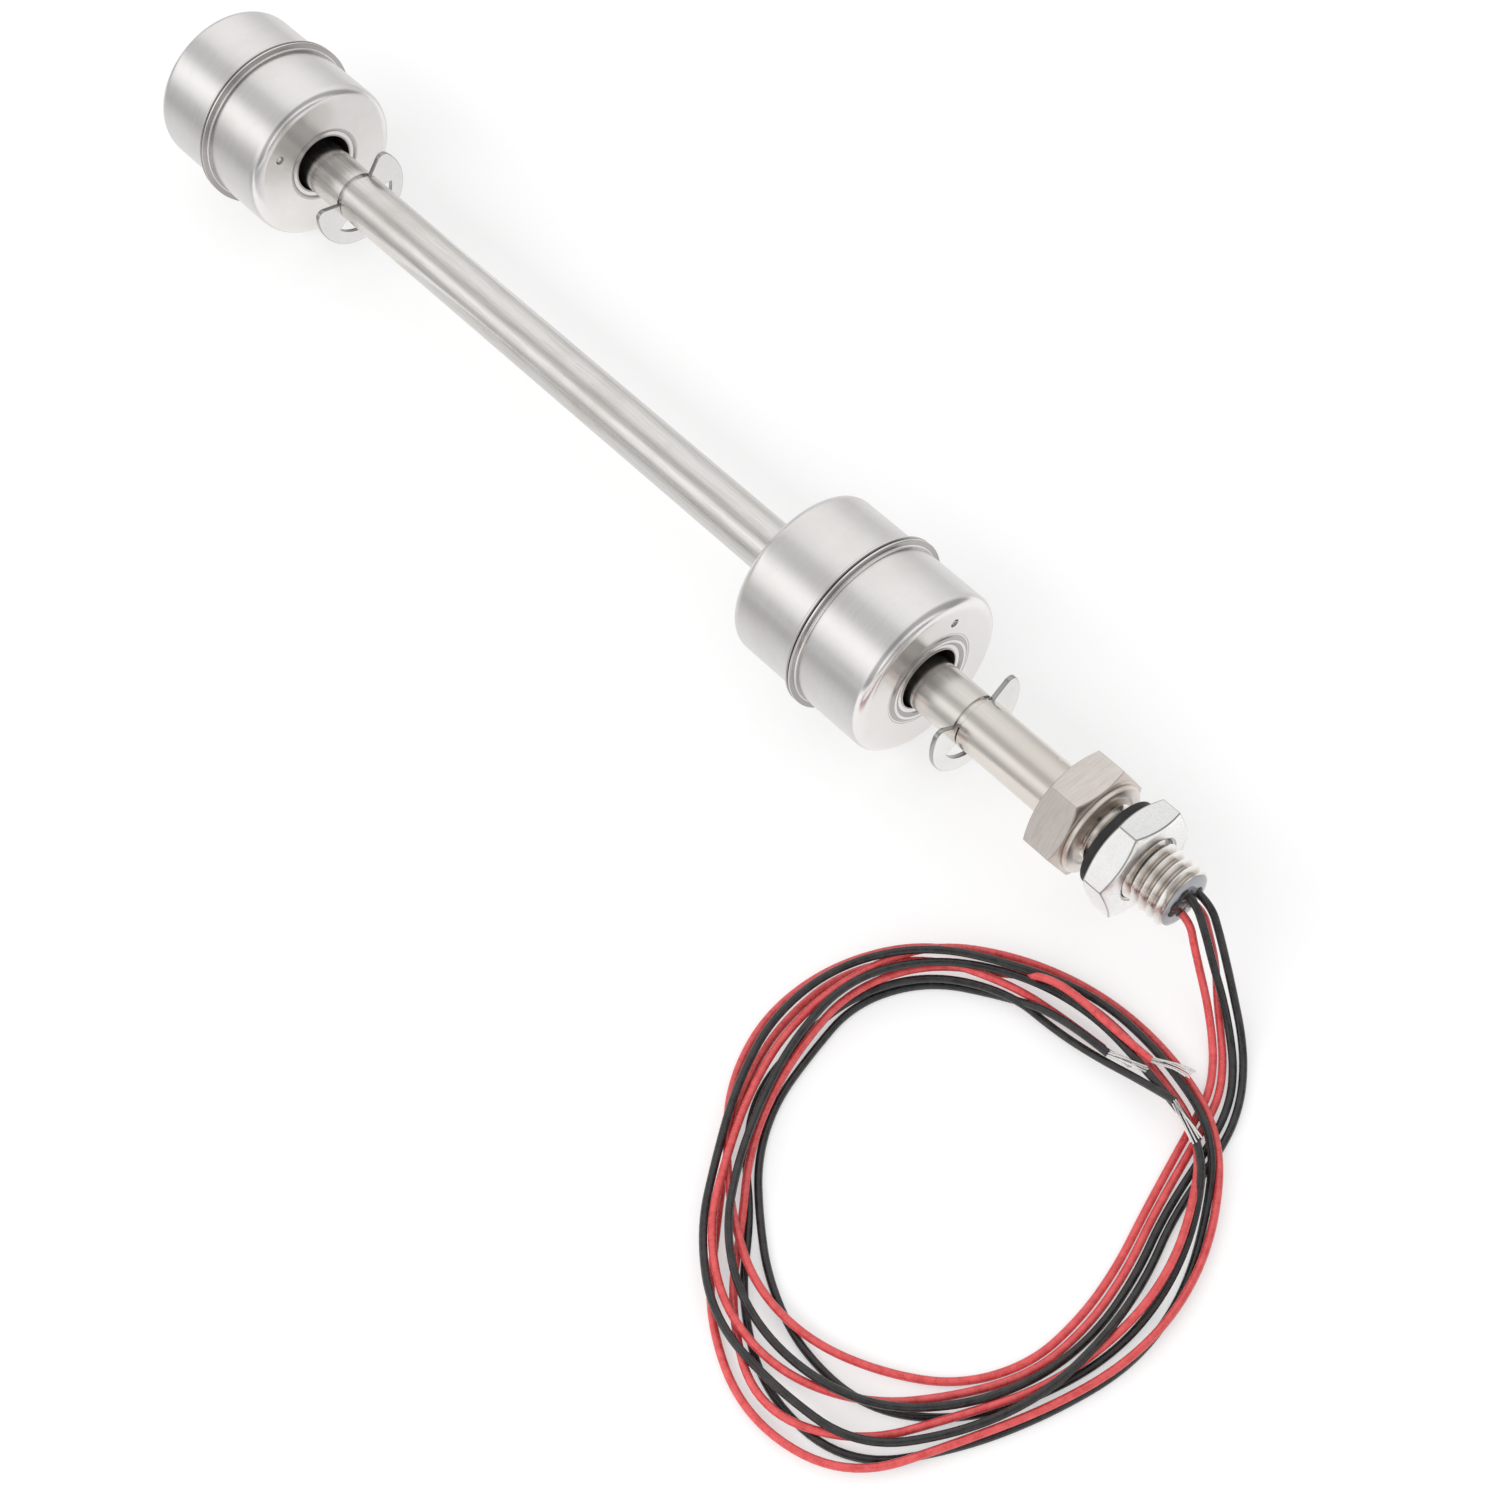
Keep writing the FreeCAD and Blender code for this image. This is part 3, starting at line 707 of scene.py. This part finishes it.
def heightNeeded(place, laid, name, i):
    # how high a lead's middle lies there, on the floor or on what is laid already
    need = leadRadius
    for other, otherName, j in laid:
        apart = math.hypot(other.x - place.x, other.y - place.y)
        if apart < 2 * leadRadius and not (otherName == name and abs(i - j) < 4):
            need = max(need, other.z + math.sqrt((2 * leadRadius) ** 2 - apart ** 2))
    return need


# the second laying knows from the first how high each point lies
leadPlans = layLeads({name: [] for name in leads})
leadPlans = layLeads({name: [point[2] for point in plan] for name, plan in leadPlans.items()})
for name, lead in leads.items():
    points = leadPlans[name]
    line = bpy.data.curves.new(name, "CURVE")
    line.dimensions = "3D"
    line.bevel_depth = leadRadius * mm
    line.bevel_resolution = 4
    line.resolution_u = 10
    line.use_fill_caps = True
    spline = line.splines.new("NURBS")
    spline.points.add(len(points) - 1)
    for knot, point in zip(spline.points, points):
        knot.co = (point[0] * mm, point[1] * mm, point[2] * mm, 1)
    spline.order_u = 3
    spline.use_endpoint_u = True
    piece = bpy.data.objects.new(name, line)
    bpy.context.scene.collection.objects.link(piece)
    dress(piece, "stem", lead["cover"], lead["slot"], lead["node"], "lead_coil")
    lead["piece"] = piece
    print(name, "points", len(points), "highest in the coil",
          round(max(point[2] for point in points[len(lead["route"]):]), 2))


strandShape = {"count": 7, "radius": 0.12, "bundle": 0.34, "seat": 1.0, "twist": 1.5, "stray": 0.15,
               "cut": 0.35}


def bareStrands(name, lead):
    # a core wire and six round it, with their cut ends spread over what lies below
    end = Vector(leadPlans[name][-1])
    seat = end + (Vector(leadPlans[name][-2]) - end).normalized() * strandShape["seat"]
    path = [seat, end] + [Vector(place) for place in lead["strands"]]
    last = len(path) - 1
    line = bpy.data.curves.new(name + "Strands", "CURVE")
    line.dimensions = "3D"
    line.bevel_depth = strandShape["radius"] * mm
    line.bevel_resolution = 2
    line.use_fill_caps = True
    for k in range(strandShape["count"]):
        fan = (k - 3) / 3 * lead["fan"] + random.uniform(-strandShape["stray"], strandShape["stray"])
        cut = random.uniform(0, strandShape["cut"])
        spline = line.splines.new("NURBS")
        spline.points.add(last)
        for i, knot in enumerate(spline.points):
            side = (path[min(i + 1, last)] - path[max(i - 1, 0)]).cross(Vector((0, 0, 1))).normalized()
            free = max(0, i - 1) / (last - 1)
            angle = k * math.pi / 3 + free * strandShape["twist"]
            around = strandShape["bundle"] * (1 - 0.5 * free) if k else 0.0
            place = path[i].lerp(path[i - 1], cut) if i == last else path[i].copy()
            place += side * (around * math.cos(angle) + fan * free)
            place.z = max(place.z + around * math.sin(angle), strandShape["radius"])
            knot.co = (*(place * mm), 1)
        spline.order_u = 4
        spline.use_endpoint_u = True
    piece = bpy.data.objects.new(name + "Strands", line)
    bpy.context.scene.collection.objects.link(piece)
    pick(piece)
    bpy.ops.object.convert(target="MESH")
    return bpy.context.active_object


for name, lead in leads.items():
    wires = bareStrands(name, lead)
    dress(wires, "stem", tinnedCopper, "tinned_copper", lead["node"] + "_strands")
print("leads laid")


# stem

stemAxis = tuple(centreOf("stem_tube"))[1:]
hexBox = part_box("mounting_body")
clipNodes = [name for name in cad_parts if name.endswith("_clip")]

# mark: the punch mark near the mounting body, cut by a ball whose middle is markReach from the axis
stemShape = {"radius": 4.25, "bore": 3.25, "grooveRadius": 3.75, "slack": 0.12, "steps": 128,
             "markRadius": 0.908, "markReach": 5.008, "markAngle": 63, "markSetback": 3.9}


def makeStem():
    # the tube with its clip grooves and punch mark, and the disc in its far end
    low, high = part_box("stem_tube")
    start, end = low.x / mm, high.x / mm
    radius, bore, groove = stemShape["radius"], stemShape["bore"], stemShape["grooveRadius"]
    profile = [(start + 0.05, bore), (start, radius, 0.25)]
    for place in sorted((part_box(name)[0].x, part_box(name)[1].x) for name in clipNodes):
        near, far = place[0] / mm - stemShape["slack"], place[1] / mm + stemShape["slack"]
        profile += [(near, radius, 0.07), (near, groove, 0.05), (far, groove, 0.05), (far, radius, 0.07)]
    profile += [(end, radius), (end, bore), (start + 0.05, bore)]
    stem = turnPiece("stemTube", profile, stemShape["steps"], stemAxis)
    angle = math.radians(stemShape["markAngle"])
    reach = stemShape["markReach"] * mm
    cutWith(stem, ballCutter(stemShape["markRadius"], (
        hexBox[0].x - stemShape["markSetback"] * mm, stemAxis[0] + reach * math.cos(angle),
        stemAxis[1] + reach * math.sin(angle))))
    finishMesh(stem)
    dress(stem, "stem", stemSteel, "stem_steel", "stem_tube")
    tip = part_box("stem_tip_plug")[0].x / mm
    plug = turnPiece("stemTipPlug", [(tip + 0.12, 0), (tip + 0.1, 2.3, 0.2), (tip, 2.75, 0.2),
                                     (tip + 0.22, 3.24), (tip + 2, 3.24), (tip + 2, 0)], 64, stemAxis)
    finishMesh(plug)
    dress(plug, "stem", stemSteel, "stem_steel", "stem_tip_plug")


# floats

floatShape = {"half": 13.9, "radius": 14.0, "shoulder": 1.9, "wall": 0.8, "lip": 15.1, "lipWidth": 0.62,
              "tube": 5.45, "bore": 5.2, "dimple": 0.75, "dimpleDepth": 0.55, "dimpleOffset": 10.0,
              "steps": 192}
dimpleAngles = {"upper_float": 63, "lower_float": 146}


def cupProfile(middle, way, collared):
    # one half of a float, from the seam to its end face; way is 1 towards the leads
    half, radius, wall = floatShape["half"], floatShape["radius"], floatShape["wall"]
    lip, width, tube = floatShape["lip"], floatShape["lipWidth"], floatShape["tube"]
    profile = [(0.03, radius - wall), (0.03, lip - 0.25), (0.18, lip, 0.12), (width, lip, 0.2),
               (width, radius + 0.12, 0.12), (width + 0.35, radius), (half, radius, floatShape["shoulder"])]
    if collared:
        profile += [(half, 8.1), (half - 0.07, 7.9, 0.1), (half, 7.7, 0.08), (half + 0.36, 7.35, 0.34),
                    (half + 0.36, 6.45, 0.34), (half - 0.02, 6.1, 0.12), (half - 0.02, tube + 0.01)]
    else:
        profile += [(half, 6.75), (half - 0.05, 6.62, 0.05), (half + 0.04, 6.45, 0.06),
                    (half - 0.2, 6.1, 0.1), (half - 0.2, tube + 0.01)]
    profile += [(half - wall, tube + 0.01), (half - wall, radius - wall), (0.03, radius - wall)]
    return [(middle + way * point[0], *point[1:]) for point in profile]


def onStep(polygon, axis):
    # the walls of the seam, of the collar round the bore and of the small dimple
    away = math.hypot(polygon.center.y - axis[0], polygon.center.z - axis[1]) / mm
    if away > 14.02:
        return 14.4 < away < floatShape["lip"] - 0.02
    return away < 12.0 and 0.12 < abs(polygon.normal.x) < (0.98 if away < 9 else 0.8)


def makeFloat(name):
    # name is the CAD float's, such as upper_float; its collar is on the end that faces the longer stem
    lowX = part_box(name + "_bottom_cup")[0].x / mm
    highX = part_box(name + "_top_cup")[1].x / mm
    axis = tuple(centreOf(name + "_top_cup"))[1:]
    upper = name == "upper_float"
    middle = lowX + floatShape["half"] if upper else highX - floatShape["half"]
    title = "upperFloat" if upper else "lowerFloat"
    for way, cup, node in ((1, "TopCup", "_top_cup"), (-1, "BottomCup", "_bottom_cup")):
        profile = cupProfile(middle, way, upper == (way == 1))
        shell = turnPiece(title + cup, profile, floatShape["steps"], axis)
        if way == 1:
            angle = math.radians(dimpleAngles[name])
            offset = floatShape["dimpleOffset"] * mm
            face = middle + floatShape["half"]
            cutWith(shell, ballCutter(floatShape["dimple"], (
                (face + floatShape["dimple"] - floatShape["dimpleDepth"]) * mm,
                axis[0] + offset * math.cos(angle), axis[1] + offset * math.sin(angle))))
        finishMesh(shell)
        markEdges(shell, lambda polygon: onStep(polygon, axis))
        dress(shell, name, floatSteel, "float_steel", name + node)
    way = 1 if upper else -1
    half, tube, bore = floatShape["half"], floatShape["tube"], floatShape["bore"]
    sleeve = [(-half + 0.2, bore), (-half + 0.2, tube, 0.05), (half + 0.12, tube, 0.1),
              (half + 0.12, bore, 0.1), (-half + 0.2, bore)]
    sleeve = [(middle + way * point[0], *point[1:]) for point in sleeve]
    tubePiece = turnPiece(title + "BoreTube", sleeve, 128, axis)
    finishMesh(tubePiece)
    dress(tubePiece, name, shadedBoreSteel, "float_steel", name + "_bore_tube")


# clips

clipShape = {"flatAngle": 1, "edge": 0.1}


def makeClip(node):
    # the CAD clip's own shape, with its flat faces whole again and its edges broken
    pick(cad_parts[node])
    bpy.ops.object.duplicate()
    clip = bpy.context.active_object
    for key in list(clip.keys()):
        del clip[key]
    clip.parent = None
    words = node.split("_")
    clip.name = clip.data.name = words[0] + "Float" + words[2].capitalize() + "Clip"
    editMode(True)
    bpy.ops.mesh.select_all(action="SELECT")
    bpy.ops.mesh.remove_doubles(threshold=weldDistance)
    bpy.ops.mesh.dissolve_limited(angle_limit=math.radians(clipShape["flatAngle"]))
    bpy.ops.mesh.normals_make_consistent(inside=False)
    editMode(False)
    finishMesh(clip, edge=clipShape["edge"])
    markEdges(clip, lambda polygon: abs(polygon.normal.x) < 0.5)
    dress(clip, "stem", clipSteel, "clip_steel", node)


# mounting body, nut and gasket

bodyShape = {"flats": 16.3, "face": 15.9, "boss": 7.5, "bossLength": 0.9, "hexLength": 6.2, "socket": 4.25,
             "socketDepth": 5.0, "bore": 3.25, "chamfer": 25, "edge": 0.1}
threadShape = {"pitch": 1.5, "crest": 4.99, "root": 4.12, "start": 4.45, "steps": 96, "turns": 13}
nutShape = {"flats": 16.0, "face": 15.0, "turn": 48.2, "thickness": 4.8, "bore": 5.05, "mouth": 5.4,
            "edge": 0.16}
gasketShape = {"bore": 5.3, "radius": 7.15, "rounding": 0.3}


def hexBar(name, x, length, flats, turn, axis):
    # six sides along X, turned by so many degrees; barrelProfile rounds off its corners
    bpy.ops.mesh.primitive_cylinder_add(vertices=6, radius=flats / math.sqrt(3) * mm, depth=length * mm,
                                        location=((x + length / 2) * mm, *axis),
                                        rotation=(0, math.pi / 2, 0))
    bar = bpy.context.active_object
    bar.name = bar.data.name = name
    settle(bar)
    editMode(True)
    bpy.ops.mesh.select_all(action="SELECT")
    bpy.ops.transform.rotate(value=-math.radians(turn), orient_axis="X",
                             center_override=((x + length / 2) * mm, *axis))
    editMode(False)
    return bar


def barrelProfile(x, length, flats, face, inner):
    radius = flats / math.sqrt(3) + 0.5
    setback = (radius - face / 2) * math.tan(math.radians(bodyShape["chamfer"]))
    return [(x, inner[0][1]), (x, face / 2), (x + setback, radius), (x + length - setback, radius),
            (x + length, face / 2)] + inner[::-1]


def makeMountingBody():
    back = hexBox[0].x / mm
    front = back + bodyShape["hexLength"]
    faceX = front + bodyShape["bossLength"]
    bore, boss = bodyShape["bore"], bodyShape["boss"]
    body = hexBar("hexBody", back, bodyShape["hexLength"], bodyShape["flats"], 0, stemAxis)
    inner = [(back, bodyShape["socket"]), (back + bodyShape["socketDepth"], bodyShape["socket"]),
             (back + bodyShape["socketDepth"], bore), (front, bore)]
    barrel = turnPiece("barrel", barrelProfile(back, bodyShape["hexLength"], bodyShape["flats"],
                                               bodyShape["face"], inner), 144, stemAxis)
    cutWith(body, barrel, "INTERSECT")
    finishMesh(body, edge=bodyShape["edge"])
    markEdges(body, lambda polygon: 0.3 < polygon.normal.x < 0.99)
    dress(body, "stem", hexSteel, "body_steel", "mounting_body")
    collar = turnPiece("mountingBoss", [(front, bore), (front, boss - 0.15, 0.1), (front + 0.2, boss, 0.1),
                                        (faceX, boss, 0.2), (faceX, 5.9, 0.1), (faceX - 0.15, 5.6, 0.1),
                                        (faceX - 0.15, bore), (front, bore)], 128, stemAxis)
    finishMesh(collar)
    dress(collar, "stem", brightenedBossSteel, "body_steel", "mounting_body")
    makeStud(faceX - 0.15, hexBox[1].x / mm)


def makeStud(start, end):
    # one tooth's profile, screwed round the axis, cut to length and turned down to the stud's blank
    pitch, crest, root = threadShape["pitch"], threadShape["crest"], threadShape["root"]
    tooth = [(0, root), (0.16, root), (0.22, root + 0.04), (0.64, crest - 0.08), (0.70, crest),
             (0.80, crest), (0.86, crest - 0.08), (1.28, root + 0.04), (1.34, root), (pitch, root)]
    bpy.ops.mesh.primitive_plane_add(size=0.001)
    stud = bpy.context.active_object
    stud.name = stud.data.name = "threadedStud"
    editMode(True)
    bpy.ops.mesh.select_all(action="SELECT")
    bpy.ops.mesh.merge(type="CENTER")
    bpy.ops.transform.translate(value=((start - 2 * pitch) * mm, 0, root * mm))
    for before, after in zip(tooth, tooth[1:]):
        bpy.ops.mesh.extrude_vertices_move(TRANSFORM_OT_translate={
            "value": ((after[0] - before[0]) * mm, 0, (after[1] - before[1]) * mm)})
    editMode(False)
    screw = stud.modifiers.new("thread", "SCREW")
    screw.axis = "X"
    screw.screw_offset = pitch * mm
    screw.iterations = threadShape["turns"]
    screw.steps = screw.render_steps = threadShape["steps"]
    screw.use_merge_vertices = True
    screw.merge_threshold = weldDistance
    applyModifiers(stud)
    editMode(True)
    bpy.ops.mesh.select_all(action="SELECT")
    bpy.ops.mesh.remove_doubles(threshold=3e-6)
    bpy.ops.transform.translate(value=(0, *stemAxis))
    for place, side in ((start, 1), (end - 0.02, -1)):
        bpy.ops.mesh.select_all(action="SELECT")
        bpy.ops.mesh.bisect(plane_co=(place * mm, 0, 0), plane_no=(side, 0, 0), use_fill=True,
                            clear_inner=True)
    bpy.ops.mesh.select_all(action="SELECT")
    bpy.ops.mesh.normals_make_consistent(inside=False)
    editMode(False)
    low, bore = threadShape["start"], bodyShape["bore"]
    blank = turnPiece("blank", [(start - 1, bore), (start - 1, 5.2), (end - 0.7, 5.2), (end, low),
                                (end, bore), (start - 1, bore)], 96, stemAxis)
    cutWith(stud, blank, "INTERSECT")
    finishMesh(stud, angle=40)
    dress(stud, "stem", threadMetal, "body_steel", "mounting_body")


def makeNutAndGasket():
    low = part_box("lock_nut")[0].x / mm
    axis = tuple(centreOf("lock_nut"))[1:]
    thick, bore, mouth = nutShape["thickness"], nutShape["bore"], nutShape["mouth"]
    nut = hexBar("lockNut", low, thick, nutShape["flats"], nutShape["turn"], axis)
    inner = [(low, mouth), (low + mouth - bore, bore), (low + thick - mouth + bore, bore),
             (low + thick, mouth)]
    outline = barrelProfile(low, thick, nutShape["flats"], nutShape["face"], inner)
    cutWith(nut, turnPiece("barrel", outline, 144, axis), "INTERSECT")
    finishMesh(nut, edge=nutShape["edge"])
    dress(nut, "lock_nut", nutSteel, "nut_steel", "lock_nut")
    start, end = (corner.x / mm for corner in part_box("sealing_gasket"))
    bore, radius, rounding = gasketShape["bore"], gasketShape["radius"], gasketShape["rounding"]
    gasket = turnPiece("sealingGasket", [(start, bore), (start, radius, rounding), (end, radius, rounding),
                                         (end, bore), (start, bore)], 128, axis)
    finishMesh(gasket)
    dress(gasket, "gasket", gasketRubber, "gasket_rubber", "sealing_gasket")


# potting

pottingShape = {"bore": 3.24, "mouth": 4.42, "depth": 0.4}
# the black root that the leads leave by, and also a dark lump standing in for the shade between the leads
# there: round lumps in one, as (y, z, radius)
rootAndShadeSpots = [(-1.0, 13.1, 1.0), (1.2, 13.1, 0.95), (0.0, 15.8, 1.1), (2.1, 14.6, 0.95), (0.4, 14.3, 1.3),
             (-1.3, 14.9, 1.3), (-2.2, 15.6, 1.2), (-0.9, 16.7, 1.1), (-2.9, 14.6, 0.8)]


def makePotting():
    start, end = (corner.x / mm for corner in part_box("potting_plug"))
    bore, mouth, face = pottingShape["bore"], pottingShape["mouth"], end - pottingShape["depth"]
    plug = turnPiece("pottingPlug", [(start, 0), (start, bore), (face, bore), (face, mouth),
                                     (face + 0.16, mouth, 0.1), (end, 3.7, 0.3), (end + 0.12, 2.0, 0.5),
                                     (end + 0.14, 0)], 96, stemAxis)
    finishMesh(plug)
    dress(plug, "stem", pottingResin, "potting_resin", "potting_plug")
    root = None
    for y, z, size in rootAndShadeSpots:
        lump = turnPiece("leadRootAndShade", [(face, 0), (face, size), (end + 0.15, size, 0.1),
                                      (end + 0.4, size - 0.25, 0.15), (end + 0.45, 0)], 32, (y * mm, z * mm))
        if root is None:
            root = lump
        else:
            cutWith(root, lump, "UNION")
    finishMesh(root)
    dress(root, "stem", blackCover, "black_insulation", "potting_plug")


makeStem()
print("stem made")
for floatName in dimpleAngles:
    makeFloat(floatName)
print("floats made")
for node in clipNodes:
    makeClip(node)
print("clips made")
makeMountingBody()
makeNutAndGasket()
makePotting()
print("body, nut, gasket and potting made")
